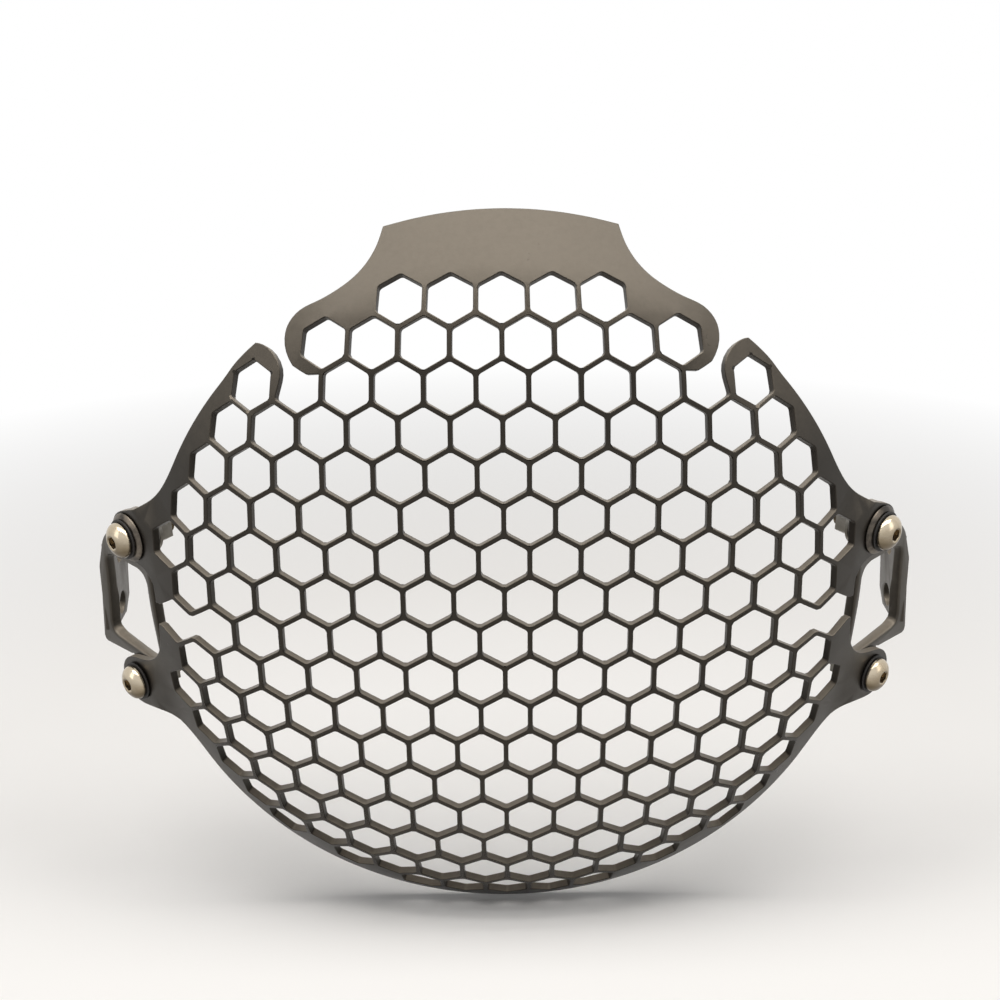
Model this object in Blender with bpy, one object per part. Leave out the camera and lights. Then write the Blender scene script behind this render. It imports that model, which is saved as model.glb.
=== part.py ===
# Motorcycle headlight guard: a pierced and pressed sheet on two side brackets
# Metres, Z up, the guard faces minus Y, left and right as seen from the front
import math
import bpy
import bmesh
import numpy as np
from mathutils import Vector, Matrix
from mathutils.geometry import delaunay_2d_cdt

# Honeycomb: rows and columns count from the top row, in steps of the pitch
PITCH = 0.0125
RIB = 0.00125
TOP_ROW = 0.0843
SIDE_INSET = 0.0049
LOW_INSET = 0.0067
LOW_PART = -0.030
RIM_BAND = 0.0014
SLIVER = 0.35
SLOT_CELL = (2, 4)
BITE_CELLS = ((8, 6), (8, 7))
SHEET = 0.0020

# Pressed shape: the slope grows from the middle and stops at the rim angle
APEX_Y = -0.060
CURL_RADIUS = 0.0893
EASE = 0.119
CURL = 0.586
RIM_ANGLE = math.radians(44.0)
BLEND = math.radians(6.0)

# Outline of the flat blank: a round border, and what stands out from it or lies inside it
BORDER = 0.0962
SIDE_STEP = 0.0012
LOW_STEP = 0.0030
MARGIN = 0.0024
PLATE_HEIGHT = 0.0123
PLATE_ANGLE = math.radians(73.5)
PLATE_FILLET = 0.0220
SLOT_WIDTH = 0.0056
SLOT_FLARE = 1.25
SLOT_TURN = math.radians(54.4)
UPPER_STEP = 0.0092
EAR_RADIUS = 0.0078
EAR_FILLET = 0.0220
EAR_ROOT = 0.0070
LOWER_STEP = 0.0174
LUG_RADIUS = 0.0080
LUG_FILLET = 0.0150

# Turn of the screws about the middle, and the flat seat of the ears
UPPER_TURN = math.radians(9.8)
LOWER_TURN = math.radians(-15.9)
SEAT_TURN = math.radians(-3.5)
SEAT_DROP = 0.0008
FLAT_RADIUS = 0.0088
FADE_RADIUS = 0.0150

# Side bracket: rail, window and strut from the border outwards, window ends as shares of the screws' turn
BRACKET = 0.0030
RAIL_STEP = 0.0050
RAIL_WIDTH = 0.0024
WINDOW_WIDTH = 0.0190
STRUT_WIDTH = 0.0038
STRUT_LEAN = 0.0042
STRUT_NECK = 0.0034
RAIL_FOOT = 0.0032
WINDOW_TOP = 0.255
WINDOW_END = 0.76
WINDOW_LOW = 0.89
WINDOW_CORNER = 0.0034
EYE_STEP = 0.0004
FLANGE_HEIGHT = 0.026
FLANGE_LENGTH = 0.0159
FLANGE_CORNER = 0.004
BOLT_RADIUS = 0.0033
BOLT_EDGE = 0.0082
BOLT_INSET = 0.0050

# Screws, washers, collars and nuts
GAP = 0.0003
SCREW = 0.0025
BORE = 0.0028
HEAD_RADIUS = 0.00475
HEAD_HEIGHT = 0.00275
HEAD_EDGE = 0.0003
HEAD_TURN = math.radians(64.0)
SOCKET = 0.0015
SOCKET_DEPTH = 0.0017
WASHER_RADIUS = 0.0054
WASHER = 0.0005
COLLAR_RADIUS = 0.0066
COLLAR = 0.0011
COLLAR_EDGE = 0.0003
COLLAR_SLOPE = 0.0010
CHAMFER = 0.0006
NUT = 0.0050
NUT_FLAT = 0.0040
NUT_FLANGE = 0.0058
NUT_RIM = 0.0009
NUT_SLOPE = 0.0007
NUT_CHAMFER = 0.0003
TIP = 0.0020
SEGMENTS = 24

# Extra points of the triangulation, and the angles below which edges are shaded smooth
FREE_EDGE = 0.0010
FREE_FIELD = 0.0024
SHEET_SMOOTH = math.radians(28.0)
ROUND_SMOOTH = math.radians(35.0)

# Distances from the middle that follow from these sizes
SIDE_BORDER = BORDER - SIDE_STEP
LOW_BORDER = BORDER + LOW_STEP
PLATE_REACH = BORDER + PLATE_HEIGHT
RAIL_IN = BORDER + RAIL_STEP
RAIL_OUT = RAIL_IN + RAIL_WIDTH
STRUT_IN = RAIL_OUT + WINDOW_WIDTH
STRUT_OUT = STRUT_IN + STRUT_WIDTH

# Profile of the dome, well past the widest reach of the blank
REACH = np.linspace(0.0, 1.25 * STRUT_OUT, 641)


def slopes():
    turn = REACH / CURL_RADIUS
    raw = EASE * turn + CURL * turn ** 4
    low = RIM_ANGLE - BLEND
    part = np.clip((raw - low) / (2.0 * BLEND), 0.0, 1.0)
    return np.where(raw < low, raw, low + 2.0 * BLEND * (part - part * part / 2.0))


SLOPE = slopes()
STEP = REACH[1] - REACH[0]


def running_sum(values):
    return np.concatenate([[0.0], np.cumsum((values[1:] + values[:-1]) * 0.5 * STEP)])


RADIUS = running_sum(np.cos(SLOPE))
DEPTH = running_sum(np.sin(SLOPE))


# Point and outward normal of the dome over a point of the blank
def dome(u, v):
    rho = math.hypot(u, v)
    angle = math.atan2(v, u)
    r = float(np.interp(rho, REACH, RADIUS))
    s = float(np.interp(rho, REACH, SLOPE))
    y = APEX_Y + float(np.interp(rho, REACH, DEPTH))
    point = Vector((r * math.cos(angle), y, r * math.sin(angle)))
    normal = Vector((math.sin(s) * math.cos(angle), -math.cos(s), math.sin(s) * math.sin(angle)))
    return point, normal


def polar(rho, angle):
    return (rho * math.cos(angle), rho * math.sin(angle))


ORIGIN = (0.0, 0.0)


# Flat seat of the ears on the right side
UP = polar(BORDER + UPPER_STEP, UPPER_TURN)
LOW = polar(BORDER + LOWER_STEP, LOWER_TURN)
SEAT_POINT, SEAT_NORMAL = dome(*polar(BORDER + (UPPER_STEP + LOWER_STEP) / 2.0, SEAT_TURN))
SEAT_POINT = SEAT_POINT - SEAT_NORMAL * SEAT_DROP
SEAT_UP = Vector((-math.sin(SEAT_TURN), 0.0, math.cos(SEAT_TURN)))
SEAT_OUT = SEAT_NORMAL.cross(SEAT_UP)
if SEAT_OUT.x < 0.0:
    SEAT_OUT = -SEAT_OUT


def on_seat(u, v):
    point, normal = dome(u, v)
    return point - SEAT_NORMAL * (point - SEAT_POINT).dot(SEAT_NORMAL)


# Blank point to space: pressed dome with the ears pressed flat, t is the height over the front face
def press(u, v, t):
    side = -1.0 if u < 0.0 else 1.0
    point, normal = dome(abs(u), v)
    near = min(math.dist((abs(u), v), UP), math.dist((abs(u), v), LOW))
    w = min(max((FADE_RADIUS - near) / (FADE_RADIUS - FLAT_RADIUS), 0.0), 1.0)
    w = w * w * (3.0 - 2.0 * w)
    point = point - SEAT_NORMAL * (w * (point - SEAT_POINT).dot(SEAT_NORMAL))
    normal = (normal * (1.0 - w) + SEAT_NORMAL * w).normalized()
    point = point + normal * t
    return Vector((side * point.x, point.y, point.z))


# Polygon helpers
def inside(point, loop):
    x, y = point
    hit = False
    for i in range(len(loop)):
        x1, y1 = loop[i]
        x2, y2 = loop[i - 1]
        if (y1 > y) != (y2 > y) and x < (x2 - x1) * (y - y1) / (y2 - y1) + x1:
            hit = not hit
    return hit


def edge_distance(point, loop):
    x, y = point
    best = 1.0
    for i in range(len(loop)):
        x1, y1 = loop[i]
        dx, dy = loop[i - 1][0] - x1, loop[i - 1][1] - y1
        along = ((x - x1) * dx + (y - y1) * dy) / max(dx * dx + dy * dy, 1e-15)
        along = min(max(along, 0.0), 1.0)
        best = min(best, math.hypot(x - x1 - along * dx, y - y1 - along * dy))
    return best


def arc(middle, radius, start, end, steps):
    turns = [start + (end - start) * i / steps for i in range(steps + 1)]
    return [(middle[0] + radius * math.cos(a), middle[1] + radius * math.sin(a)) for a in turns]


def circle(middle, radius, count):
    return arc(middle, radius, 0.0, math.tau, count)[:-1]


def mirrored(loop):
    return [(-x, y) for x, y in reversed(loop)]


# Polygon with each corner rounded over a length, at most half of a side
def rounded(corners, length):
    loop = []
    for i in range(len(corners)):
        corner = Vector(corners[i])
        ends = []
        for other in (corners[i - 1], corners[(i + 1) % len(corners)]):
            side = Vector(other) - corner
            ends.append(corner + side * min(length / side.length, 0.49))
        crown = (ends[0] + corner * 2.0 + ends[1]) / 4.0
        loop.extend([tuple(ends[0]), tuple(crown), tuple(ends[1])])
    return loop


# Middle of a fillet at a distance from the origin and from a spot, before or after the spot
def fillet_middle(distance, spot, reach, side):
    span = math.hypot(*spot)
    turn = math.acos((distance ** 2 + span ** 2 - reach ** 2) / (2.0 * distance * span))
    return polar(distance, math.atan2(spot[1], spot[0]) + side * turn)


# Line along a chain of touching circles: discs are passed clockwise and fillets the other way
def chained(chain):
    loop = []
    for before, this, after in zip(chain, chain[1:], chain[2:]):
        middle, radius, way, steps = this
        start = math.atan2(before[0][1] - middle[1], before[0][0] - middle[0])
        end = math.atan2(after[0][1] - middle[1], after[0][0] - middle[0])
        turn = (way * (end - start) + 1.0) % math.tau - 1.0
        loop.extend(arc(middle, radius, start, start + way * turn, steps)[:-1])
    return loop


# Solid of even thickness over a flat region: outline less the cuts, placed by a function
def sheet_solid(outline, cuts, spots, front, back, place):
    points = []
    edges = []
    for loop in [outline] + cuts:
        first = len(points)
        points.extend(loop)
        for i in range(len(loop)):
            edges.append((first + i, first + (i + 1) % len(loop)))
    points.extend(spots)
    flat = delaunay_2d_cdt([Vector(p) for p in points], edges, [], 0, 1e-7)
    corners, faces = flat[0], flat[2]
    kept = []
    for face in faces:
        x = sum(corners[i].x for i in face) / 3.0
        y = sum(corners[i].y for i in face) / 3.0
        if inside((x, y), outline) and not any(inside((x, y), cut) for cut in cuts):
            kept.append(face)
    used = sorted({i for face in kept for i in face})
    bm = bmesh.new()
    top = {i: bm.verts.new(place(corners[i].x, corners[i].y, front)) for i in used}
    low = {i: bm.verts.new(place(corners[i].x, corners[i].y, back)) for i in used}
    rim = {}
    for face in kept:
        bm.faces.new([top[i] for i in face])
        bm.faces.new([low[i] for i in reversed(face)])
        for k in range(3):
            a, b = face[k], face[(k + 1) % 3]
            if (b, a) in rim:
                del rim[(b, a)]
            else:
                rim[(a, b)] = True
    for a, b in rim:
        bm.faces.new([top[b], top[a], low[a], low[b]])
    bmesh.ops.recalc_face_normals(bm, faces=bm.faces)
    return bm


# Body of rings around an axis: each ring is height, radius and True for six flats
def ring_solid(rings, bored):
    bm = bmesh.new()
    loops = []
    for height, radius, flats in rings:
        loop = []
        for i in range(SEGMENTS):
            angle = math.tau * i / SEGMENTS
            reach = radius
            if flats:
                reach = radius / math.cos((angle % (math.pi / 3.0)) - math.pi / 6.0)
            loop.append(bm.verts.new((reach * math.cos(angle), reach * math.sin(angle), height)))
        loops.append(loop)
    pairs = list(zip(loops, loops[1:]))
    if bored:
        pairs.append((loops[-1], loops[0]))
    for one, two in pairs:
        for i in range(SEGMENTS):
            j = (i + 1) % SEGMENTS
            bm.faces.new([one[i], one[j], two[j], two[i]])
    if not bored:
        for loop, height in ((loops[0], rings[0][0]), (loops[-1], rings[-1][0])):
            middle = bm.verts.new((0.0, 0.0, height))
            for i in range(SEGMENTS):
                bm.faces.new([loop[i], loop[(i + 1) % SEGMENTS], middle])
    bmesh.ops.recalc_face_normals(bm, faces=bm.faces)
    return bm


# Material and object
def material(name, color, roughness, metallic):
    made = bpy.data.materials.new(name)
    made.use_nodes = True
    shader = made.node_tree.nodes["Principled BSDF"]
    shader.inputs["Base Color"].default_value = (color[0], color[1], color[2], 1.0)
    shader.inputs["Roughness"].default_value = roughness
    shader.inputs["Metallic"].default_value = metallic
    made.diffuse_color = (color[0], color[1], color[2], 1.0)
    return made


def node(name, bm, paint, smooth_angle):
    mesh = bpy.data.meshes.new(name)
    if bm.calc_volume(signed=True) < 0.0:
        bmesh.ops.reverse_faces(bm, faces=bm.faces)
    for edge in bm.edges:
        if len(edge.link_faces) == 2:
            edge.smooth = edge.calc_face_angle(0.0) < smooth_angle
    for face in bm.faces:
        face.smooth = smooth_angle > 0.0
    bm.to_mesh(mesh)
    bm.free()
    mesh.materials.append(paint)
    made = bpy.data.objects.new(name, mesh)
    bpy.context.scene.collection.objects.link(made)
    return made


# Hexagon of the lattice, shrunk by half a rib, with its corners from the top one clockwise
def cell(row, column):
    x = column * PITCH
    y = TOP_ROW - row * PITCH * math.sqrt(0.75)
    reach = (PITCH - RIB) / math.sqrt(3.0)
    turns = [math.radians(90.0 - 60.0 * i) for i in range(6)]
    return [(x + reach * math.cos(a), y + reach * math.sin(a)) for a in turns]


def cell_middle(row, column):
    return (column * PITCH, TOP_ROW - row * PITCH * math.sqrt(0.75))


# Outline of the blank, right half from the top down, then mirrored
def guard_outline():
    corner = polar(PLATE_REACH, PLATE_ANGLE)
    bottom = (0.0, -LOW_BORDER)
    ear = EAR_RADIUS + EAR_FILLET
    root = EAR_RADIUS + EAR_ROOT
    lug = LUG_RADIUS + LUG_FILLET
    chain = [
        (corner, 0.0, 0, 0),
        (fillet_middle(BORDER + PLATE_FILLET, corner, PLATE_FILLET, -1), PLATE_FILLET, 1, 4),
        (ORIGIN, BORDER, -1, 11),
        (fillet_middle(BORDER + EAR_FILLET, UP, ear, 1), EAR_FILLET, 1, 4),
        (UP, EAR_RADIUS, -1, 9),
        (fillet_middle(SIDE_BORDER + EAR_ROOT, UP, root, -1), EAR_ROOT, 1, 4),
        (ORIGIN, SIDE_BORDER, -1, 1),
        (fillet_middle(SIDE_BORDER + LUG_FILLET, LOW, lug, 1), LUG_FILLET, 1, 4),
        (LOW, LUG_RADIUS, -1, 10),
        (fillet_middle(LOW_BORDER + LUG_FILLET, LOW, lug, -1), LUG_FILLET, 1, 4),
        (ORIGIN, LOW_BORDER, -1, 11),
        (bottom, 0.0, 0, 0),
    ]
    loop = arc(ORIGIN, PLATE_REACH, math.pi / 2.0, PLATE_ANGLE, 4)[:-1] + chained(chain) + [bottom]
    left = [p for p in mirrored(loop) if abs(p[0]) > 1e-6]
    return loop + left


# Slot between top plate and side plate, and the bite in the side under the upper ear
def slot():
    middle = Vector(cell_middle(*SLOT_CELL))
    ahead = Vector(polar(1.0, SLOT_TURN))
    across = Vector((-ahead.y, ahead.x)) * SLOT_WIDTH / 2.0
    end = middle + ahead * (PLATE_REACH - middle.length)
    flare = across * SLOT_FLARE
    return [tuple(p) for p in (middle + across, end + flare, end - flare, middle - across)]


def bite():
    inner = cell(*BITE_CELLS[0])
    outer = cell(*BITE_CELLS[1])
    loop = [(PLATE_REACH, outer[1][1]), outer[1], outer[0], outer[5], inner[1], inner[0], inner[5]]
    loop += [inner[4], inner[3], inner[2], outer[4], outer[3], outer[2], (PLATE_REACH, outer[2][1])]
    return loop


# Hole cut back to the margin of the rim
def trimmed(loop, limit):
    out = []
    for i in range(len(loop)):
        a, b = loop[i], loop[(i + 1) % len(loop)]
        ra, rb = math.hypot(*a), math.hypot(*b)
        if ra <= limit:
            out.append(a)
        if (ra <= limit) != (rb <= limit):
            low, high = 0.0, 1.0
            for step in range(40):
                mid = (low + high) / 2.0
                r = math.hypot(a[0] + (b[0] - a[0]) * mid, a[1] + (b[1] - a[1]) * mid)
                if (r <= limit) == (ra <= limit):
                    low = mid
                else:
                    high = mid
            out.append((a[0] + (b[0] - a[0]) * low, a[1] + (b[1] - a[1]) * low))
    return out


def area(loop):
    total = 0.0
    for i in range(len(loop)):
        total += loop[i - 1][0] * loop[i][1] - loop[i][0] * loop[i - 1][1]
    return abs(total) / 2.0


# Cells of the lattice: the pierced ones as loops, and the middles and corners of the others
def honeycomb(outline, openings):
    whole = area(cell(0, 0))
    special = {(row, side * column) for row, column in (SLOT_CELL,) + BITE_CELLS for side in (-1, 1)}
    holes = []
    solid = []
    for row in range(-3, 19):
        for step in range(-10, 11):
            column = step + (0.5 if row % 2 else 0.0)
            if (row, column) in special:
                continue
            middle = cell_middle(row, column)
            loop = cell(row, column)
            reach = BORDER - SIDE_INSET
            if middle[1] < LOW_PART:
                loop = trimmed(loop, LOW_BORDER - MARGIN)
                reach = LOW_BORDER - LOW_INSET
            pierced = row >= 0 and math.hypot(*middle) < reach
            pierced = pierced and len(loop) > 2 and area(loop) > SLIVER * whole
            if pierced:
                pierced = all(inside(p, outline) and edge_distance(p, outline) > RIM_BAND for p in loop)
            if pierced:
                pierced = all(edge_distance(p, other) > 0.5 * RIB for p in loop for other in openings)
            if pierced:
                holes.append(loop)
            else:
                corner = PITCH / math.sqrt(3.0)
                solid.extend([middle, (middle[0], middle[1] + corner), (middle[0], middle[1] - corner)])
    return holes, solid


# Inner points that let the ears and plates bend: rings round the screws, then the lattice
def field_points(outline, cuts, solid):
    spots = []
    for middle in (UP, LOW):
        for p in circle(middle, FLAT_RADIUS - 0.1 * SHEET, 18):
            clear = inside(p, outline) and edge_distance(p, outline) > FREE_EDGE
            if clear and all(edge_distance(p, cut) > FREE_EDGE and not inside(p, cut) for cut in cuts):
                spots.extend([p, (-p[0], p[1])])
    for p in solid:
        clear = inside(p, outline) and edge_distance(p, outline) > FREE_FIELD
        clear = clear and all(math.dist(p, q) > SHEET for q in spots)
        clear = clear and all(edge_distance(p, cut) > FREE_FIELD and not inside(p, cut) for cut in cuts)
        if clear:
            spots.append(p)
    return spots


# The guard: pierced blank, pressed
def guard_mesh():
    outline = guard_outline()
    openings = [bite(), mirrored(bite()), slot(), mirrored(slot())]
    holes, solid = honeycomb(outline, openings)
    row, column = SLOT_CELL
    cuts = openings + [cell(row, column), cell(row, -column)] + holes
    for middle in (UP, LOW):
        bore = circle(middle, BORE, SEGMENTS)
        cuts.extend([bore, mirrored(bore)])
    bm = sheet_solid(outline, cuts, field_points(outline, cuts, solid), 0.0, -SHEET, press)
    paint = material("black_powder_coat", (0.018, 0.018, 0.019), 0.38, 0.0)
    return node("guard_mesh", bm, paint, SHEET_SMOOTH)


# Place on the seat plane of the bracket, side -1 or 1
def seat_place(side):
    def place(u, v, t):
        point = on_seat(u, v) + SEAT_NORMAL * t
        return Vector((side * point.x, point.y, point.z))
    return place


# Point of the blank at a distance from the middle and a share of the turn from upper to lower screw
def between(reach, share):
    return polar(reach, UPPER_TURN + share * (LOWER_TURN - UPPER_TURN))


# The strut leaves the round of the rail as it goes down, so that it stands upright
def on_strut(reach, share):
    down = max(share - WINDOW_TOP, 0.0) / (WINDOW_END - WINDOW_TOP)
    return between(reach + STRUT_LEAN * down ** 2, share)


# Frame of the bracket in blank coordinates: upper eye, strut, lower eye, rail
def bracket_outline():
    loop = arc(UP, EAR_RADIUS - EYE_STEP, math.radians(170.0), math.radians(15.0), 8)
    loop.append(on_strut(STRUT_OUT - STRUT_NECK, 0.16))
    loop.extend([on_strut(STRUT_OUT, share) for share in (0.34, 0.54, 0.83)])
    loop.extend(arc(LOW, LUG_RADIUS - EYE_STEP, math.radians(50.0), math.radians(-150.0), 10))
    loop.append(between(RAIL_IN + RAIL_FOOT, 0.93))
    loop.extend([between(RAIL_IN, share) for share in (0.82, 0.60, 0.38, 0.22)])
    return loop


# The window has a straight top and a slanted foot that falls towards the rail
def bracket_window():
    share = (WINDOW_TOP + WINDOW_END) / 2.0
    corners = [between(RAIL_OUT, WINDOW_TOP), on_strut(STRUT_IN, WINDOW_TOP), on_strut(STRUT_IN, share)]
    corners += [on_strut(STRUT_IN, WINDOW_END), between(RAIL_OUT, WINDOW_LOW), between(RAIL_OUT, share)]
    return rounded(corners, WINDOW_CORNER)


# Middle of the strut between the ends of the window, its rise, and the way out from the guard
def strut_frame():
    middle = (STRUT_IN + STRUT_OUT) / 2.0
    top = on_seat(*on_strut(middle, WINDOW_TOP))
    foot = on_seat(*on_strut(middle, WINDOW_END))
    rise = Vector((top.x - foot.x, 0.0, top.z - foot.z)).normalized()
    return (top + foot) / 2.0, rise, Vector((rise.z, 0.0, -rise.x))


# Flange that runs back from the strut, as far as the plane of the origin
def flange(side):
    middle, rise, out = strut_frame()
    start = middle - SEAT_NORMAL * (SHEET + GAP + BRACKET / 2.0)
    half = FLANGE_HEIGHT / 2.0
    end = FLANGE_LENGTH
    corner = FLANGE_CORNER
    outline = [(0.0, -half), (end - corner, -half), (end, -half + corner)]
    outline += [(end, half - corner), (end - corner, half), (0.0, half)]
    holes = [circle((end - BOLT_EDGE, s * (half - BOLT_INSET)), BOLT_RADIUS, 16) for s in (-1, 1)]

    def place(a, b, t):
        point = start + Vector((0.0, a, 0.0)) + rise * b + out * t
        return Vector((side * point.x, point.y, point.z))
    return sheet_solid(outline, holes, [], BRACKET / 2.0, -BRACKET / 2.0, place)


def bracket(name, side, paint):
    cuts = [bracket_window(), circle(UP, BORE, SEGMENTS), circle(LOW, BORE, SEGMENTS)]
    front = -SHEET - GAP
    frame = sheet_solid(bracket_outline(), cuts, [], front, front - BRACKET, seat_place(side))
    made = node(name, frame, paint, SHEET_SMOOTH)
    tool = node(name + "_flange_tool", flange(side), paint, 0.0)
    join = made.modifiers.new("flange", "BOOLEAN")
    join.operation = "UNION"
    join.solver = "EXACT"
    join.object = tool
    graph = bpy.context.evaluated_depsgraph_get()
    joined = bpy.data.meshes.new_from_object(made.evaluated_get(graph))
    made.modifiers.clear()
    made.data = joined
    bpy.data.objects.remove(tool)
    return made


# Place a body of rings on the seat of one screw
def seated(name, bm, spot, side, paint):
    base = on_seat(*spot)
    turn = Matrix((SEAT_OUT, SEAT_UP, SEAT_NORMAL)).transposed().to_4x4()
    bm.transform(Matrix.Translation(base) @ turn)
    if side < 0:
        bm.transform(Matrix.Diagonal((-1.0, 1.0, 1.0, 1.0)))
    bmesh.ops.recalc_face_normals(bm, faces=bm.faces)
    return node(name, bm, paint, ROUND_SMOOTH)


# Button head screw: shank with a chamfered tip, domed head, hexagon socket
def screw_rings(under):
    end = -(SHEET + GAP + BRACKET + GAP + NUT + TIP)
    top = under + HEAD_HEIGHT
    rings = [(end, SCREW - CHAMFER, False), (end + CHAMFER, SCREW, False), (under, SCREW, False)]
    rings.append((under, HEAD_RADIUS, False))
    for i in range(4):
        turn = HEAD_TURN * i / 3.0
        rise = (HEAD_HEIGHT - HEAD_EDGE) * math.sin(turn) / math.sin(HEAD_TURN)
        rings.append((under + HEAD_EDGE + rise, HEAD_RADIUS * math.cos(turn), False))
    rings += [(top, SOCKET, True), (top - SOCKET_DEPTH, SOCKET, True)]
    return rings


def washer_rings(low):
    high = low + WASHER
    return [(low, BORE, False), (low, WASHER_RADIUS, False), (high, WASHER_RADIUS, False), (high, BORE, False)]


def collar_rings(low):
    high = low + COLLAR
    return [(low, BORE, False), (low, COLLAR_RADIUS, False), (low + COLLAR_EDGE, COLLAR_RADIUS, False),
            (high, COLLAR_RADIUS - COLLAR_SLOPE, False), (high, BORE, False)]


# Flanged nut: a round flange against the bracket, then six flats
def nut_rings(high):
    low = high - NUT
    slope = high - NUT_RIM - NUT_SLOPE
    return [(high, BORE, False), (high, NUT_FLANGE, False), (high - NUT_RIM, NUT_FLANGE, False),
            (slope, NUT_FLAT, True), (low + NUT_CHAMFER, NUT_FLAT, True), (low, NUT_FLAT - NUT_CHAMFER, False),
            (low, BORE, False)]


# Build
def build():
    for old in list(bpy.data.objects):
        bpy.data.objects.remove(old, do_unlink=True)
    guard_mesh()
    coat = material("bracket_coat", (0.024, 0.024, 0.025), 0.42, 0.0)
    dark = material("washer_black", (0.012, 0.012, 0.012), 0.6, 0.0)
    black = material("collar_black_anodised", (0.030, 0.029, 0.028), 0.35, 0.6)
    steel = material("stainless_steel", (0.62, 0.59, 0.53), 0.24, 1.0)
    zinc = material("zinc_plated_steel", (0.50, 0.50, 0.48), 0.38, 1.0)
    back = -(SHEET + GAP + BRACKET + GAP)
    raised = GAP + COLLAR + GAP
    for word, side in (("left", -1), ("right", 1)):
        bracket("bracket_" + word, side, coat)
        seated("collar_" + word, ring_solid(collar_rings(GAP), True), UP, side, black)
        for level, spot, low in (("upper", UP, raised), ("lower", LOW, GAP)):
            tail = level + "_" + word
            seated("washer_" + tail, ring_solid(washer_rings(low), True), spot, side, dark)
            head = low + WASHER + GAP
            seated("screw_" + tail, ring_solid(screw_rings(head), False), spot, side, steel)
            seated("nut_" + tail, ring_solid(nut_rings(back), True), spot, side, zinc)


build()
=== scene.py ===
import math
import bpy
import bmesh
import numpy as np
from mathutils import Matrix, Vector


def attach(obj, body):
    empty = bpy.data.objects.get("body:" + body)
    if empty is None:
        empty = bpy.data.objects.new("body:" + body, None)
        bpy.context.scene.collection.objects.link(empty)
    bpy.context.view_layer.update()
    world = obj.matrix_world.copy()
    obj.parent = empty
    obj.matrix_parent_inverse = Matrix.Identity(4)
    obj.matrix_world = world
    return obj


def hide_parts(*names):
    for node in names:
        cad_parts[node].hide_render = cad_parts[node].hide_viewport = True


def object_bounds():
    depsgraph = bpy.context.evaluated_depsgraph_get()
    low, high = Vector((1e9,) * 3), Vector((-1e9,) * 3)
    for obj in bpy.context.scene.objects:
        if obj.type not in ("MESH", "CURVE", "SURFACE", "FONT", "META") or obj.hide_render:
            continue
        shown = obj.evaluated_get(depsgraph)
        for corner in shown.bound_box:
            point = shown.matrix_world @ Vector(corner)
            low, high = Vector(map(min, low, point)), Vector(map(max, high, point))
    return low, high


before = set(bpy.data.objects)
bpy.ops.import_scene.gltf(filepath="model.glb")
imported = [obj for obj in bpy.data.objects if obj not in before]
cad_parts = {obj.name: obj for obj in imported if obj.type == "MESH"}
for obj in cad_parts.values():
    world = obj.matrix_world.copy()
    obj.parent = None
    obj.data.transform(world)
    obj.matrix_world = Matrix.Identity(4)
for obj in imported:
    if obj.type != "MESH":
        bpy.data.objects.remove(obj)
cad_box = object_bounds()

# The guard is one steel sheet, laser cut flat with a honeycomb and pressed into a dome, with its ears
# pressed flat for the screws. The corners of the holes keep small radii, the edges are broken by hand, and
# the sheet is coated satin black.
SHEET = 0.0020
HOLE_RADIUS = 0.0006
EDGE_RADIUS = 0.00020
MERGE = 1e-6
NOTHING = 1e-9
OUTLINE_STEP = 0.0018
LENGTHWISE = 0.6
LONGEST_EDGE = 0.0040
BROAD_AREA = 5.0e-6
CUT_ROUNDS = 3
EASE_PASSES = 4
CRISP_TURN = 0.45
NO_TURN = 9.0
WALL_LEAN = 0.75
CELL_TURN = (0.5, 1.3)
SQUARE_TURN = 1.2
ACROSS_SHEET = 1.3 * SHEET
APEX_Y = -0.060
CURL_RADIUS = 0.0893
EASE = 0.119
CURL = 0.586
RIM_ANGLE = math.radians(44.0)
BLEND = math.radians(6.0)
EAR_BEND = 0.0160
REACH = np.linspace(0.0, 0.15, 751)
CELL_CORNER = 0.0065
NEAR_CELL = 1.3 * CELL_CORNER
CELL_WASTE = 2.0 * CELL_CORNER
CELL_MARKS = 2.5 * CELL_CORNER
ON_CUT = 5e-5
ONE_FACE = math.radians(0.1)
END_CELL = Vector((0.0630, 0.06265))
END_BORDER = 0.0970
END_REACH = 1.6
SLOT_LINE = math.radians(51.7)
LOWEST_TURN = -120.0
# Middle and radius of a round end on the flat blank, and the turns in degrees where it fades in and out
PLATE_END = (Vector((0.0452, 0.0749)), 0.0096, (-100.0, -76.0, 59.0, 75.0))
SIDE_END = (Vector((0.0627, 0.0649)), 0.0086, (0.0, 30.0, 184.0, 212.0))
COAT_TONE = (0.0085, 0.0072, 0.0060)
EDGE_TONE = (0.0120, 0.0102, 0.0085)
COAT_DUST = (0.060, 0.050, 0.038)
# Pale colour laid on faces that look up, partly settled dust and partly painted light
DUST_AND_TOP_LIGHT = (0.27, 0.235, 0.19)
COAT_TINT = (1.0, 0.90, 0.76, 1.0)
PEEL_STRENGTH = 0.25
PEEL_DEPTH = 0.00004


def merged_copy(node):
    bm = bmesh.new()
    bm.from_mesh(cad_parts[node].data)
    bmesh.ops.remove_doubles(bm, verts=bm.verts, dist=MERGE)
    return bm


def screw_axis(node):
    bm = merged_copy(node)
    points = np.array([v.co for v in bm.verts])
    bm.free()
    middle = points.mean(axis=0)
    axis = np.linalg.svd(points - middle)[2][0]
    return Vector(middle), Vector(axis if axis[1] < 0.0 else -axis).normalized()


def off_axis(point, line):
    away = point - line[0]
    return (away - line[1] * away.dot(line[1])).length


def running_sum(values, step):
    return np.concatenate([[0.0], np.cumsum((values[1:] + values[:-1]) * 0.5 * step)])


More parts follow.
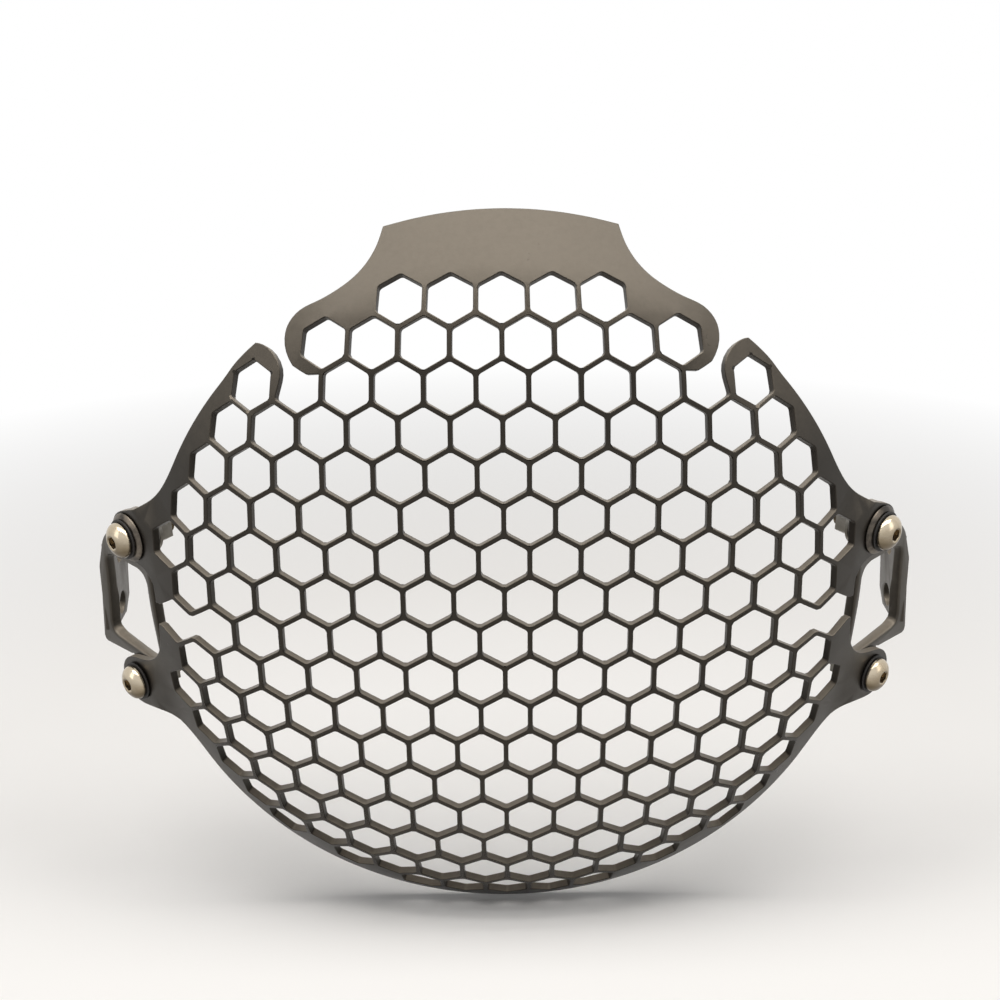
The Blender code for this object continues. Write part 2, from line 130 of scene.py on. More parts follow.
# The radius, depth and slope that each reach on the flat blank is pressed to, for both faces of the sheet
def dome_profiles():
    raw = EASE * REACH / CURL_RADIUS + CURL * (REACH / CURL_RADIUS) ** 4
    low = RIM_ANGLE - BLEND
    share = np.clip((raw - RIM_ANGLE + BLEND) / (2.0 * BLEND), 0.0, 1.0)
    slope = np.where(raw < low, raw, low + 2.0 * BLEND * (share - share ** 2 / 2.0))
    radius = running_sum(np.cos(slope), REACH[1])
    depth = APEX_Y + running_sum(np.sin(slope), REACH[1])
    inner = (radius - SHEET * np.sin(slope), depth + SHEET * np.cos(slope), slope)
    return (radius, depth, slope), inner


def surface(point, side):
    reach = math.hypot(point.x, point.z)
    depth, slope = (float(np.interp(reach, side[0], values)) for values in side[1:])
    out = math.sin(slope) / max(reach, NOTHING)
    return depth, Vector((point.x * out, -math.cos(slope), point.z * out))


def flattened(point):
    side = min(sides, key=lambda side: abs(surface(point, side)[0] - point.y))
    reach = math.hypot(point.x, point.z)
    share = float(np.interp(reach, side[0], REACH)) / reach
    return Vector((abs(point.x) * share, point.z * share)), side


def pressed(flat, side, way):
    share = float(np.interp(flat.length, REACH, side[0])) / flat.length
    return Vector((way * flat.x * share, float(np.interp(flat.length, REACH, side[1])), flat.y * share))


def ear_reach(point):
    return min(off_axis(point, line) for line in axes.values())


def is_wall(face):
    middle = face.calc_center_median()
    normals = [surface(middle, sides[0])[1]]
    normals += [line[1] for line in axes.values() if off_axis(middle, line) < EAR_BEND]
    return max(abs(face.normal.dot(normal)) for normal in normals) < WALL_LEAN


def outer_wall(walls):
    left = set(walls)
    bands = []
    while left:
        band = [left.pop()]
        for face in band:
            beside = {other for edge in face.edges for other in edge.link_faces} & left
            left -= beside
            band.extend(beside)
        bands.append(band)
    return max(bands, key=len)


def outline(bm):
    return [edge for edge in bm.edges if sum(face.material_index for face in edge.link_faces) == 1]


def cut_outline(bm):
    cuts = {}
    for edge in outline(bm):
        wall = max(edge.link_faces, key=lambda face: face.material_index)
        longest = max(other.calc_length() for other in wall.edges)
        count = int(longest / OUTLINE_STEP)
        if count and edge.calc_length() > LENGTHWISE * longest:
            cuts.setdefault(count, []).append(edge)
    for count, edges in cuts.items():
        bmesh.ops.subdivide_edges(bm, edges=edges, cuts=count, use_grid_fill=True)


def inner_edges(bm, walls):
    return [edge for edge in bm.edges if len(edge.link_faces) == 2 and not walls & set(edge.link_faces)]


def cut_sheet(bm):
    walls = {face for face in bm.faces if is_wall(face)}
    broad = [face for face in bm.faces if face not in walls]
    bmesh.ops.triangulate(bm, faces=broad, quad_method="BEAUTY", ngon_method="BEAUTY")
    inner = [edge for edge in inner_edges(bm, walls) if min(ear_reach(v.co) for v in edge.verts) > EAR_BEND]
    broad = [face for face in bm.faces if face not in walls]
    bmesh.ops.beautify_fill(bm, faces=broad, edges=inner, method="ANGLE")
    inner = [edge for edge in inner_edges(bm, walls) if edge.calc_length() > LONGEST_EDGE
             and min(face.calc_area() for face in edge.link_faces) > BROAD_AREA]
    bmesh.ops.subdivide_edges(bm, edges=inner, cuts=1)


# The last cell in each side plate, cut with six planes through both faces of the sheet
def pierce(bm, way):
    turns = [i * math.pi / 3.0 for i in range(6)]
    rim = [END_CELL + Vector((math.sin(turn), math.cos(turn))) * CELL_CORNER for turn in turns]
    rim = [pressed(flat, sides[0], way) for flat in rim]
    middle = pressed(END_CELL, sides[0], way)
    outward = surface(middle, sides[0])[1]
    planes = []
    for first, second in zip(rim, rim[1:] + rim[:1]):
        across = (second - first).cross(outward).normalized()
        planes.append((first, across if across.dot(middle - first) < 0.0 else -across))
    for spot, across in planes:
        near = [face for face in bm.faces if not is_wall(face)
                and min((v.co - middle).length for v in face.verts) < NEAR_CELL]
        edges = list(dict.fromkeys(edge for face in near for edge in face.edges))
        bmesh.ops.bisect_plane(bm, geom=near + edges, dist=ON_CUT, plane_co=spot, plane_no=across)
    waste = []
    for face in bm.faces:
        place = face.calc_center_median()
        if (place - middle).length < CELL_WASTE and not is_wall(face):
            if all((place - spot).dot(across) < 0.0 for spot, across in planes):
                waste.append(face)
    bmesh.ops.delete(bm, geom=waste, context="FACES")
    bmesh.ops.bridge_loops(bm, edges=[edge for edge in bm.edges if edge.is_boundary])
    marks = [edge for edge in bm.edges if (edge.verts[0].co - middle).length < CELL_MARKS
             and not any(is_wall(face) for face in edge.link_faces)]
    bmesh.ops.dissolve_limit(bm, angle_limit=ONE_FACE, verts=[], edges=marks)


# The ends of the plates beside the slots follow a round line about their last cells
def round_ends(bm):
    for v in {v for edge in outline(bm) for v in edge.verts}:
        flat, side = flattened(v.co)
        upper = math.atan2(flat.y, flat.x) > SLOT_LINE
        middle, radius, fade = PLATE_END if upper else SIDE_END
        away = flat - middle
        turn = (math.degrees(math.atan2(away.y, away.x)) - LOWEST_TURN) % 360.0 + LOWEST_TURN
        share = float(np.interp(turn, fade, (0.0, 1.0, 1.0, 0.0)))
        if share > 0.0 and away.length < END_REACH * radius:
            flat = flat.lerp(middle + away * radius / away.length, share)
            flat = flat * min(1.0, END_BORDER / flat.length)
            v.co = pressed(flat, side, math.copysign(1.0, v.co.x))


def press(bm):
    for v in bm.verts:
        if ear_reach(v.co) > EAR_BEND:
            v.co.y = min((surface(v.co, side)[0] for side in sides), key=lambda y: abs(y - v.co.y))


def ease_outline(bm):
    beside = {}
    for edge in outline(bm):
        for v in edge.verts:
            beside.setdefault(v, []).append(edge.other_vert(v))
    loose = [v for v, pair in beside.items() if len(pair) == 2
             and (v.co - pair[0].co).angle(pair[1].co - v.co, NO_TURN) < CRISP_TURN]
    for _ in range(EASE_PASSES):
        eased = []
        for v in loose:
            first, second = (other.co for other in beside[v])
            along = second - first
            foot = first + along * ((v.co - first).dot(along) / along.length_squared)
            eased.append(v.co.lerp(foot, 0.5))
        for v, place in zip(loose, eased):
            v.co = place


def square_edges(bm):
    return [edge for edge in bm.edges if edge.calc_face_angle(0.0) > SQUARE_TURN]


def rounded(bm, edges, offset, segments):
    bmesh.ops.bevel(bm, geom=edges, offset=offset, segments=segments, profile=0.5, affect="EDGES",
                    material=-1)


def finished(name, bm, material, sharp=math.radians(20.0)):
    bmesh.ops.remove_doubles(bm, verts=bm.verts, dist=MERGE)
    for face in bm.faces:
        face.smooth = True
    for edge in bm.edges:
        edge.smooth = edge.calc_face_angle(0.0) < sharp
    mesh = bpy.data.meshes.new(name)
    bm.to_mesh(mesh)
    bm.free()
    mesh.materials.append(material)
    made = bpy.data.objects.new(name, mesh)
    bpy.context.scene.collection.objects.link(made)
    return made


def new_group(name, inputs, outputs):
    kinds = {"c": "NodeSocketColor", "f": "NodeSocketFloat", "v": "NodeSocketVector"}
    group = bpy.data.node_groups.new(name, "ShaderNodeTree")
    for label, kind in inputs:
        group.interface.new_socket(name=label, in_out="INPUT", socket_type=kinds[kind])
    for label, kind in outputs:
        group.interface.new_socket(name=label, in_out="OUTPUT", socket_type=kinds[kind])
    return group, group.nodes.new("NodeGroupInput"), group.nodes.new("NodeGroupOutput")


def noise(tree, vector, scale, detail, rough):
    made = tree.nodes.new("ShaderNodeTexNoise")
    made.inputs["Scale"].default_value = scale
    made.inputs["Detail"].default_value = detail
    made.inputs["Roughness"].default_value = rough
    tree.links.new(vector, made.inputs["Vector"])
    return made.outputs["Fac"]


def spread(tree, value, low, high, to_low, to_high):
    made = tree.nodes.new("ShaderNodeMapRange")
    for label, number in (("From Min", low), ("From Max", high), ("To Min", to_low), ("To Max", to_high)):
        made.inputs[label].default_value = number
    tree.links.new(value, made.inputs["Value"])
    return made.outputs["Result"]


def maths(tree, kind, *values):
    made = tree.nodes.new("ShaderNodeMath")
    made.operation = kind
    for i, value in enumerate(values):
        if isinstance(value, float):
            made.inputs[i].default_value = value
        else:
            tree.links.new(value, made.inputs[i])
    return made.outputs[0]


def blend(tree, factor, first, second):
    made = tree.nodes.new("ShaderNodeMix")
    made.data_type = "RGBA"
    tree.links.new(factor, made.inputs["Factor"])
    for label, value in (("A", first), ("B", second)):
        tree.links.new(value, made.inputs[label])
    return made.outputs["Result"]


def upward(tree, normal):
    made = tree.nodes.new("ShaderNodeSeparateXYZ")
    tree.links.new(normal, made.inputs[0])
    return made.outputs["Z"]


# Powder coat: cloudy road dust over the tone, dust and painted light on what faces up, and the powder's
# orange peel
def coat_group():
    group, given, out = new_group(
        "satin coat",
        (("Vector", "v"), ("Normal", "v"), ("Tone", "c"), ("Dust", "c"), ("Dust Amount", "f"),
         ("Dust And Light", "c"), ("Dust And Light Amount", "f"), ("Roughness", "f")),
        (("Color", "c"), ("Roughness", "f"), ("Height", "f")))
    place = given.outputs["Vector"]
    cloud = noise(group, place, scale=26.0, detail=4.0, rough=0.55)
    speck = noise(group, place, scale=520.0, detail=3.0, rough=0.6)
    peel = noise(group, place, scale=1900.0, detail=2.0, rough=0.5)
    dust = maths(group, "MULTIPLY", spread(group, cloud, low=0.42, high=0.72, to_low=0.0, to_high=1.0),
                 spread(group, speck, low=0.38, high=0.66, to_low=0.25, to_high=1.0))
    dust = maths(group, "MULTIPLY", dust, given.outputs["Dust Amount"])
    dusty = blend(group, dust, given.outputs["Tone"], given.outputs["Dust"])
    # Faces that look up turn pale: partly settled dust, partly painted light for the lit walls and top
    # plate
    rising = upward(group, given.outputs["Normal"])
    dust_and_light = maths(group, "MULTIPLY", spread(group, rising, low=0.30, high=0.80, to_low=0.0, to_high=1.0),
                    spread(group, speck, low=0.30, high=0.60, to_low=0.86, to_high=1.0))
    dust_and_light = maths(group, "MULTIPLY", dust_and_light, given.outputs["Dust And Light Amount"])
    group.links.new(blend(group, dust_and_light, dusty, given.outputs["Dust And Light"]), out.inputs["Color"])
    shift = maths(group, "ADD", spread(group, cloud, low=0.3, high=0.7, to_low=-0.04, to_high=0.05),
                  spread(group, speck, low=0.3, high=0.7, to_low=-0.02, to_high=0.03))
    group.links.new(maths(group, "ADD", given.outputs["Roughness"], shift), out.inputs["Roughness"])
    group.links.new(maths(group, "MULTIPLY_ADD", speck, 0.6, peel), out.inputs["Height"])
    return group


def dressed(name, finish, values, bump_strength, bump_depth):
    material = bpy.data.materials.new(name)
    material.use_nodes = True
    tree = material.node_tree
    shader = tree.nodes["Principled BSDF"]
    place = tree.nodes.new("ShaderNodeTexCoord")
    group = tree.nodes.new("ShaderNodeGroup")
    group.node_tree = finish
    for label, value in values.items():
        group.inputs[label].default_value = (*value, 1.0) if isinstance(value, tuple) else value
    bump = tree.nodes.new("ShaderNodeBump")
    bump.inputs["Strength"].default_value = bump_strength
    bump.inputs["Distance"].default_value = bump_depth
    tree.links.new(place.outputs["Object"], group.inputs["Vector"])
    tree.links.new(place.outputs["Normal"], group.inputs["Normal"])
    tree.links.new(group.outputs["Color"], shader.inputs["Base Color"])
    tree.links.new(group.outputs["Roughness"], shader.inputs["Roughness"])
    tree.links.new(group.outputs["Height"], bump.inputs["Height"])
    tree.links.new(bump.outputs["Normal"], shader.inputs["Normal"])
    return material, shader


def coated(name, tone, dust_amount, dust_and_light_amount, roughness, specular):
    values = {"Tone": tone, "Dust": COAT_DUST, "Dust Amount": dust_amount, "Dust And Light": DUST_AND_TOP_LIGHT,
              "Dust And Light Amount": dust_and_light_amount, "Roughness": roughness}
    material, shader = dressed(name, satin_coat, values, PEEL_STRENGTH, PEEL_DEPTH)
    shader.inputs["Specular IOR Level"].default_value = specular
    shader.inputs["Specular Tint"].default_value = COAT_TINT
    return material


satin_coat = coat_group()
# Faces that look up are paled partly by settled dust and partly by painted light, the cut edges most
guard_coat = coated("guard satin coat", COAT_TONE, dust_amount=0.22, dust_and_light_amount=0.46, roughness=0.31,
                    specular=0.36)
edge_coat = coated("guard cut edge coat", EDGE_TONE, dust_amount=0.30, dust_and_light_amount=0.70, roughness=0.40,
                   specular=0.35)
SCREWS = [level + "_" + word for level in ("upper", "lower") for word in ("left", "right")]
axes = {name: screw_axis("screw_" + name) for name in SCREWS}
sides = dome_profiles()
bm = merged_copy("guard_mesh")
walls = [face for face in bm.faces if is_wall(face)]
bmesh.ops.join_triangles(bm, faces=walls, angle_face_threshold=0.2, angle_shape_threshold=1.0)
# The outer wall is marked, because only the outline is cut finer, rounded at the plate ends and eased
for face in outer_wall([face for face in bm.faces if is_wall(face)]):
    face.material_index = 1
cut_outline(bm)
round_ends(bm)
ease_outline(bm)
for way in (-1.0, 1.0):
    pierce(bm, way)
for _ in range(CUT_ROUNDS):
    cut_sheet(bm)
    press(bm)
# Radii in the corners of the holes, then broken edges, which stay behind the front face of the dome
corners = [e for e in bm.edges if CELL_TURN[0] < e.calc_face_angle(0.0) < CELL_TURN[1] and not e.is_convex]
rounded(bm, [e for e in corners if e.calc_length() < ACROSS_SHEET], HOLE_RADIUS, 3)
rounded(bm, square_edges(bm), EDGE_RADIUS, 2)
for v in bm.verts:
    if ear_reach(v.co) > EAR_BEND:
        v.co.y = max(v.co.y, surface(v.co, sides[0])[0])
for face in bm.faces:
    face.material_index = int(is_wall(face))
guard = finished("guard_sheet", bm, guard_coat)
guard.data.materials.append(edge_coat)
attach(guard, "root")
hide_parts("guard_mesh")

# The side brackets are cut from 3 mm steel plate, each with a window between strut and rail and a flange
# bent straight back for its own two bolts. They are coated like the guard and bolted behind its ears.
PLATE_EDGE = 0.0007
PLATE_CORNER = 0.0030
CORNER_ROOM = 0.45
PLATE_TURN = 0.42
SAME_PLATE = math.radians(0.5)
ALONG_SCREWS = 0.95
FLANGE_EDGE = 0.00025
FLANGE_BEND = -0.0160
STRUT_BACK = -0.0110
BRACKET_TONE = (0.0165, 0.0145, 0.0120)
# The bracket's faces that look up get more of the same dust and painted light
bracket_coat = coated("bracket satin coat", BRACKET_TONE, dust_amount=0.40, dust_and_light_amount=0.80,
                      roughness=0.36, specular=0.55)


def is_upright(edge):
    along = (edge.verts[0].co - edge.verts[1].co).normalized()
    before_bend = max(v.co.y for v in edge.verts) < STRUT_BACK
    return before_bend and abs(along.dot(axes["upper_left"][1])) > ALONG_SCREWS


def bracket_mesh():
    bm = merged_copy("bracket_left")
    bmesh.ops.dissolve_limit(bm, angle_limit=SAME_PLATE, verts=bm.verts, edges=bm.edges)
    for corner in [e for e in bm.edges if e.calc_face_angle(0.0) > PLATE_TURN and is_upright(e)]:
        room = min(e.calc_length() for v in corner.verts for e in v.link_edges if e != corner)
        rounded(bm, [corner], min(PLATE_CORNER, CORNER_ROOM * room), 5)
    plate = [e for e in square_edges(bm) if max(v.co.y for v in e.verts) < FLANGE_BEND - EDGE_RADIUS]
    rounded(bm, plate, PLATE_EDGE, 3)
    flange = [e for e in square_edges(bm) if min(v.co.y for v in e.verts) > FLANGE_BEND + EDGE_RADIUS]
    rounded(bm, flange, FLANGE_EDGE, 2)
    return bm


for word in ("left", "right"):
    bm = bracket_mesh()
    if word == "right":
        bmesh.ops.scale(bm, verts=bm.verts, vec=(-1.0, 1.0, 1.0))
        bmesh.ops.reverse_faces(bm, faces=bm.faces)
    bracket = finished("bracket_plate_" + word, bm, bracket_coat, sharp=math.radians(32.0))
    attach(bracket, "root")
    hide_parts("bracket_" + word)

# Under each upper screw lies a cup washer with a conical face. It is turned from aluminium and anodised
# black, and the anodising is rubbed paler in patches.
FINE_MERGE = 1e-7
FINE_EDGE = 0.00012
FINE_SHARE = 0.4
TURNS = 72
COLLAR_FLAT = 0.0056
CONE_START = 0.3
COLLAR_TONE = (0.040, 0.034, 0.028)
COLLAR_RUBBED = (0.260, 0.220, 0.175)
# Colour of the painted shade that darkens the downward faces of bare metal
PAINTED_SHADE = (0.075, 0.055, 0.030)
GRAIN_STRENGTH = 0.3


def span(node, line):
    bm = merged_copy(node)
    heights = [(v.co - line[0]).dot(line[1]) for v in bm.verts]
    radii = [off_axis(v.co, line) for v in bm.verts]
    bm.free()
    return min(heights), max(heights), min(radii), max(radii)


def eased(corners):
    loop = []
    for i, corner in enumerate(corners):
        for other in (corners[i - 1], corners[(i + 1) % len(corners)]):
            side = Vector(other) - Vector(corner)
            loop.append(Vector(corner) + side.normalized() * min(FINE_EDGE, FINE_SHARE * side.length))
    return loop


def lathe(bm, profile, closed):
    made = [bm.verts.new((radius, 0.0, height)) for radius, height in profile]
    pairs = list(zip(made, made[1:]))
    if closed:
        pairs.append((made[-1], made[0]))
    geom = made + [bm.edges.new(pair) for pair in pairs]
    bmesh.ops.spin(bm, geom=geom, axis=(0.0, 0.0, 1.0), cent=(0.0, 0.0, 0.0), angle=math.tau, steps=TURNS,
                   use_merge=True)
    bmesh.ops.remove_doubles(bm, verts=bm.verts, dist=FINE_MERGE)


def seat(bm, line):
    across = line[1].cross(Vector((0.0, 0.0, 1.0))).normalized()
    turn = Matrix((across, line[1].cross(across), line[1])).transposed().to_4x4()
    bmesh.ops.recalc_face_normals(bm, faces=bm.faces)
    bm.transform(Matrix.Translation(line[0]) @ turn)


# Bare metal or oxide: worn patches over the tone, painted shade on what faces down, and a fine grain
def worn_metal_group():
    group, given, out = new_group(
        "worn metal",
        (("Vector", "v"), ("Normal", "v"), ("Tone", "c"), ("Worn", "c"), ("Wear", "f"), ("Painted Shade", "c"),
         ("Painted Shade Amount", "f"), ("Roughness", "f")),
        (("Color", "c"), ("Roughness", "f"), ("Height", "f")))
    place = given.outputs["Vector"]
    patch = noise(group, place, scale=210.0, detail=3.0, rough=0.6)
    grain = noise(group, place, scale=2600.0, detail=2.0, rough=0.5)
    worn = maths(group, "MULTIPLY", spread(group, patch, low=0.40, high=0.64, to_low=0.0, to_high=1.0),
                 given.outputs["Wear"])
    worn = blend(group, worn, given.outputs["Tone"], given.outputs["Worn"])
    # Faces that look down are darkened towards the shade colour: painted shade, not dirt
    rising = upward(group, given.outputs["Normal"])
    shade_share = maths(group, "MULTIPLY", spread(group, rising, low=0.45, high=-0.35, to_low=0.0, to_high=1.0),
                  given.outputs["Painted Shade Amount"])
    group.links.new(blend(group, shade_share, worn, given.outputs["Painted Shade"]), out.inputs["Color"])
    shift = maths(group, "ADD", spread(group, patch, low=0.3, high=0.7, to_low=-0.05, to_high=0.08),
                  spread(group, grain, low=0.3, high=0.7, to_low=-0.03, to_high=0.03))
    group.links.new(maths(group, "ADD", given.outputs["Roughness"], shift), out.inputs["Roughness"])
    group.links.new(maths(group, "MULTIPLY_ADD", patch, 0.5, grain), out.inputs["Height"])
    return group


def metal(name, tone, worn_tone, wear, painted_shade_amount, roughness, metallic, bump_depth):
    values = {"Tone": tone, "Worn": worn_tone, "Wear": wear, "Painted Shade": PAINTED_SHADE, "Painted Shade Amount": painted_shade_amount,
              "Roughness": roughness}
    material, shader = dressed(name, worn_metal, values, GRAIN_STRENGTH, bump_depth)
    shader.inputs["Metallic"].default_value = metallic
    return material


worn_metal = worn_metal_group()
anodised = metal("anodised collar", COLLAR_TONE, COLLAR_RUBBED, wear=0.6, painted_shade_amount=0.0, roughness=0.38,
                 metallic=0.7, bump_depth=0.00002)
for word in ("left", "right"):
    line = axes["upper_" + word]
    low, high, bore, rim = span("collar_" + word, line)
    edge = low + CONE_START * (high - low)
    bm = bmesh.new()
    lathe(bm, eased([(bore, low), (rim, low), (rim, edge), (COLLAR_FLAT, high), (bore, high)]), closed=True)
    seat(bm, line)
    collar = finished("cup_washer_" + word, bm, anodised)
    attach(collar, "root")
    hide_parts("collar_" + word)

# A thin washer lies under every screw head. It is stamped from steel and oxidised to a dull black, and its
# edges are slightly eased.
WASHER_TONE = (0.010, 0.0095, 0.009)
WASHER_RUST = (0.045, 0.030, 0.020)
oxide = metal("washer black oxide", WASHER_TONE, WASHER_RUST, wear=0.25, painted_shade_amount=0.0, roughness=0.58,
              metallic=0.2, bump_depth=0.00003)
for name in SCREWS:
    low, high, bore, rim = span("washer_" + name, axes[name])
    bm = bmesh.new()
    lathe(bm, eased([(bore, low), (rim, low), (rim, high), (bore, high)]), closed=True)
    seat(bm, axes[name])
    washer = finished("flat_washer_" + name, bm, oxide)
    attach(washer, "root")
    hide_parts("washer_" + name)

# The screws are M5 button heads of stainless steel, cold headed with a hexagon socket and rolled with a
# thread that shows behind the nuts. Weather has left a warm film on the steel.
SHANK = 0.0025
THREAD_ROOT = 0.00215
THREAD_PITCH = 0.0008
THREADED = 0.0100
HEAD_HEIGHT = 0.00275
HEAD_EDGE = 0.0003
HEAD_TURN = math.radians(64.0)
HEAD_STEPS = 14
SOCKET_FLAT = 0.0015
SOCKET_DEPTH = 0.0017
SOCKET_LIP = 0.00018
SOCKET_POINT = 0.0004
STEEL_TONE = (0.58, 0.50, 0.38)
STEEL_FILM = (0.40, 0.32, 0.21)


def corner_radius(flat_radius):
    return flat_radius / math.cos(math.pi / 6.0)


def screw_profile(low, under, head):
    profile = [(0.0, low), (THREAD_ROOT, low)]
    turns = int(THREADED / THREAD_PITCH)
    for i in range(turns):
        at = low + (i + 0.5) * THREAD_PITCH
        profile += [(SHANK, at), (THREAD_ROOT, at + 0.5 * THREAD_PITCH)]
    profile += [(SHANK, low + (turns + 0.5) * THREAD_PITCH), (SHANK, under), (head - FINE_EDGE, under)]
    profile += [(head, under + FINE_EDGE), (head, under + HEAD_EDGE)]
    dome = HEAD_HEIGHT - HEAD_EDGE
    rim = corner_radius(SOCKET_FLAT + SOCKET_LIP)
    for i in range(1, HEAD_STEPS + 1):
        turn = HEAD_TURN * i / HEAD_STEPS
        if head * math.cos(turn) > rim:
            height = under + HEAD_EDGE + dome * math.sin(turn) / math.sin(HEAD_TURN)
            profile.append((head * math.cos(turn), height))
    profile.append((rim, under + HEAD_HEIGHT))
    return profile


def open_loop(bm, height):
    return [e for e in bm.edges if e.is_boundary and all(abs(v.co.z - height) < MERGE for v in e.verts)]


def hexagon(bm, corner, height):
    made = bmesh.ops.create_circle(bm, segments=6, radius=corner)
    bmesh.ops.translate(bm, verts=made["verts"], vec=(0.0, 0.0, height))
    return list(dict.fromkeys(edge for v in made["verts"] for edge in v.link_edges))


def sunk(bm, loop, depth, scale):
    made = bmesh.ops.extrude_edge_only(bm, edges=loop)["geom"]
    moved = [v for v in made if isinstance(v, bmesh.types.BMVert)]
    bmesh.ops.translate(bm, verts=moved, vec=(0.0, 0.0, -depth))
    bmesh.ops.scale(bm, verts=moved, vec=(scale, scale, 1.0))
    return [e for e in made if isinstance(e, bmesh.types.BMEdge)]


# The steel gets painted shade on its downward faces, darker and browner towards the bottom of each head
stainless = metal("stainless screw", STEEL_TONE, STEEL_FILM, wear=0.55, painted_shade_amount=0.85, roughness=0.20,
                  metallic=1.0, bump_depth=0.000015)
for name in SCREWS:
    low, high, _, head = span("screw_" + name, axes[name])
    bm = bmesh.new()
    lathe(bm, screw_profile(low, high - HEAD_HEIGHT, head), closed=False)
    mouth = open_loop(bm, high)
    lip = hexagon(bm, corner_radius(SOCKET_FLAT), high - SOCKET_LIP)
    bmesh.ops.bridge_loops(bm, edges=mouth + lip)
    floor_loop = sunk(bm, lip, SOCKET_DEPTH - SOCKET_LIP, scale=1.0)
    sunk(bm, floor_loop, SOCKET_POINT, scale=0.0)
    bmesh.ops.remove_doubles(bm, verts=bm.verts, dist=FINE_MERGE)
    seat(bm, axes[name])
    screw = finished("button_screw_" + name, bm, stainless, sharp=math.radians(40.0))
    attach(screw, "root")
    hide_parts("screw_" + name)

# Behind each bracket a flanged nut clamps the joint. It is cold formed in steel with a round flange and six
# flats, and zinc plated.
NUT_FLAT = 0.0040
NUT_RIM = 0.0009
NUT_SLOPE = 0.0007
NUT_TURN = (0.6, 1.3)
ZINC_TONE = (0.36, 0.35, 0.32)
ZINC_DULL = (0.21, 0.20, 0.18)
# The zinc also gets painted shade on its downward faces
zinc = metal("zinc plated nut", ZINC_TONE, ZINC_DULL, wear=0.7, painted_shade_amount=0.5, roughness=0.36,
             metallic=1.0, bump_depth=0.00002)
for name in SCREWS:
    low, high, bore, flange = span("nut_" + name, axes[name])
    corner = corner_radius(NUT_FLAT)
    waist = high - NUT_RIM - NUT_SLOPE
    bm = bmesh.new()
    lathe(bm, [(bore + FINE_EDGE, low), (bore, low + FINE_EDGE), (bore, high), (flange - FINE_EDGE, high),
               (flange, high - FINE_EDGE), (flange, high - NUT_RIM), (corner, waist)], closed=False)
    top = open_loop(bm, waist)
    mouth = open_loop(bm, low)
    foot = hexagon(bm, corner, waist)
    bmesh.ops.bridge_loops(bm, edges=top + foot)
    end = sunk(bm, foot, waist - low, scale=1.0)
    bmesh.ops.bridge_loops(bm, edges=mouth + end)
    flats = [e for e in bm.edges if NUT_TURN[0] < e.calc_face_angle(0.0) < NUT_TURN[1]]
    rounded(bm, [e for e in flats if e.calc_length() > 0.5 * (waist - low)], FINE_EDGE, 2)
    seat(bm, axes[name])
    nut = finished("flange_nut_" + name, bm, zinc, sharp=math.radians(35.0))
    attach(nut, "root")
    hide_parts("nut_" + name)

# The floor is a plain pale sheet that the guard's lower rim just clears. It keeps the guard's shadow and
# turns pure white further out.
FLOOR_GAP = 0.0005
FLOOR_SIZE = 6.0
FLOOR_TONE = (0.90, 0.90, 0.90, 1.0)
FLOOR_ROUGHNESS = 0.9
FLOOR_SPECULAR = 0.1
SHADE_REACH = 0.18
WHITE_REACH = 0.50


def seen_directly(tree):
    paths = tree.nodes.new("ShaderNodeLightPath")
    seen = maths(tree, "MAXIMUM", paths.outputs["Is Camera Ray"], paths.outputs["Is Glossy Ray"])
    return maths(tree, "MAXIMUM", seen, paths.outputs["Is Transmission Ray"])


bm = bmesh.new()
bmesh.ops.create_grid(bm, x_segments=1, y_segments=1, size=FLOOR_SIZE)
bmesh.ops.translate(bm, verts=bm.verts, vec=(0.0, 0.0, cad_box[0].z - FLOOR_GAP))
pale = bpy.data.materials.new("pale floor")
pale.use_nodes = True
tree = pale.node_tree
shader = tree.nodes["Principled BSDF"]
shader.inputs["Base Color"].default_value = FLOOR_TONE
shader.inputs["Roughness"].default_value = FLOOR_ROUGHNESS
shader.inputs["Specular IOR Level"].default_value = FLOOR_SPECULAR
place = tree.nodes.new("ShaderNodeTexCoord")
flat = tree.nodes.new("ShaderNodeVectorMath")
flat.operation = "MULTIPLY"
flat.inputs[1].default_value = (1.0, 1.0, 0.0)
tree.links.new(place.outputs["Object"], flat.inputs[0])
away = tree.nodes.new("ShaderNodeVectorMath")
away.operation = "LENGTH"
tree.links.new(flat.outputs["Vector"], away.inputs[0])
far = spread(tree, away.outputs["Value"], low=SHADE_REACH, high=WHITE_REACH, to_low=0.0, to_high=1.0)
share = maths(tree, "MULTIPLY", far, seen_directly(tree))
glow = tree.nodes.new("ShaderNodeEmission")
mix = tree.nodes.new("ShaderNodeMixShader")
tree.links.new(share, mix.inputs[0])
tree.links.new(shader.outputs[0], mix.inputs[1])
tree.links.new(glow.outputs[0], mix.inputs[2])
tree.links.new(mix.outputs[0], tree.nodes["Material Output"].inputs["Surface"])
floor = finished("floor", bm, pale)

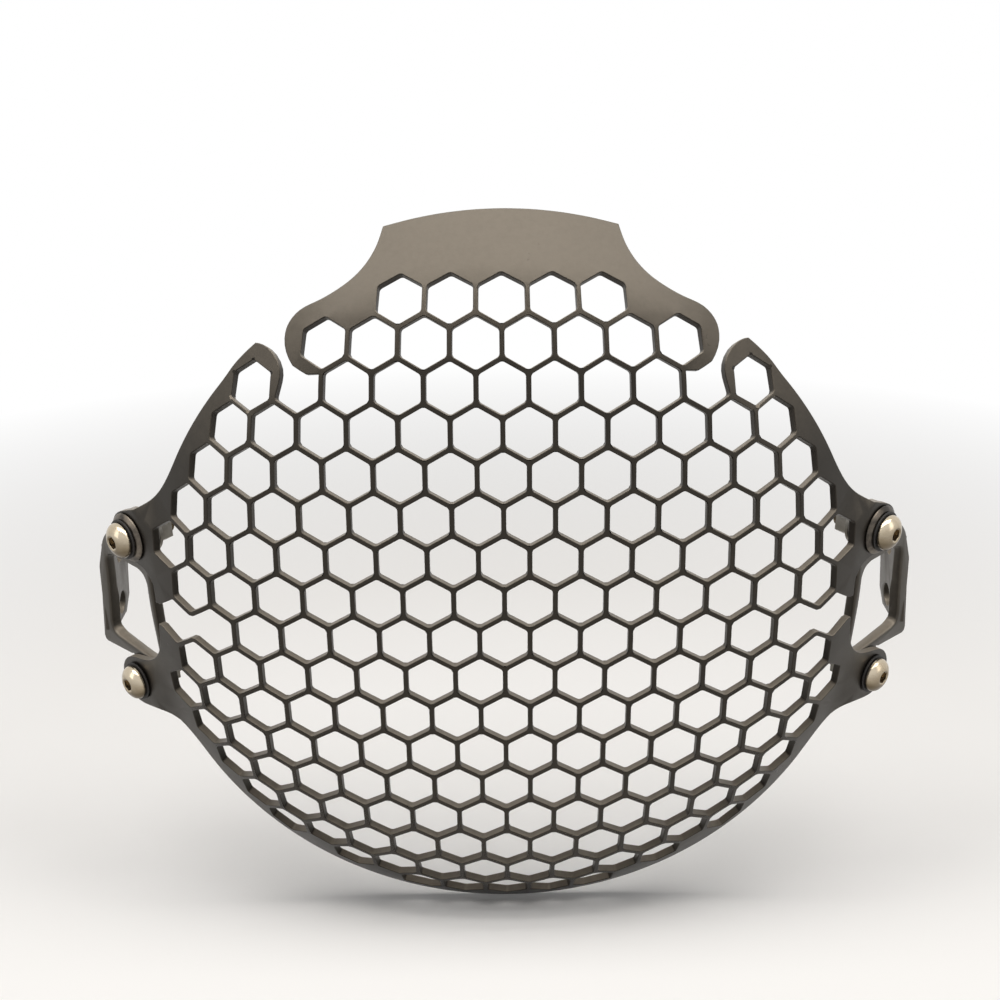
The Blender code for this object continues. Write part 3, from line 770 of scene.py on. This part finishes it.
# The studio is a white room with soft boxes: a wide one overhead, which the top plate mirrors, and one on
# each side. The room looks white to the camera and in reflections, and lights the guard less.
ROOM_LIGHT = 0.20
world = bpy.data.worlds.new("studio")
bpy.context.scene.world = world
world.use_nodes = True
tree = world.node_tree
room = tree.nodes["Background"]
room.inputs["Color"].default_value = (1.0, 1.0, 1.0, 1.0)
strength = spread(tree, seen_directly(tree), low=0.0, high=1.0, to_low=ROOM_LIGHT, to_high=1.0)
tree.links.new(strength, room.inputs["Strength"])
MIDDLE = Vector((0.0, -0.045, 0.0))
# Name, place, width and height, watts and color of each soft box, which faces the middle of the guard
LAMPS = (
    ("overhead", (0.0, -0.15, 0.60), (1.10, 0.32), 5.6, (1.0, 0.965, 0.92)),
    ("left", (-0.70, -0.35, 0.30), (0.30, 0.50), 0.6, (1.0, 0.98, 0.95)),
    ("right", (0.70, -0.35, 0.30), (0.30, 0.50), 0.6, (1.0, 0.98, 0.95)),
)
for name, spot, size, watts, color in LAMPS:
    lamp = bpy.data.lights.new(name, "AREA")
    lamp.shape = "RECTANGLE"
    lamp.size, lamp.size_y = size
    lamp.energy = watts
    lamp.color = color
    holder = bpy.data.objects.new(name, lamp)
    holder.location = spot
    holder.rotation_euler = (MIDDLE - Vector(spot)).to_track_quat("-Z", "Y").to_euler()
    bpy.context.scene.collection.objects.link(holder)

# The camera stands where the photograph was taken from, in front of the guard and above it. Its lens, place
# and turns come from a fit to the honeycomb.
SENSOR_WIDTH = 36.0
LENS = 52.28
CAMERA_PLACE = (-0.0002, -0.3819, 0.1631)
LOOK_DOWN = 0.376
LOOK_ASIDE = 0.002
ROLL = -0.011
eye = bpy.data.cameras.new("camera")
eye.sensor_width = SENSOR_WIDTH
eye.lens = LENS
camera = bpy.data.objects.new("camera", eye)
camera.location = CAMERA_PLACE
turn = Matrix.Rotation(LOOK_ASIDE, 3, "Z") @ Matrix.Rotation(math.pi / 2.0 - LOOK_DOWN, 3, "X")
turn = turn @ Matrix.Rotation(ROLL, 3, "Z")
camera.rotation_euler = turn.to_euler()
bpy.context.scene.collection.objects.link(camera)
bpy.context.scene.camera = camera
bpy.context.scene.view_settings.view_transform = "Standard"
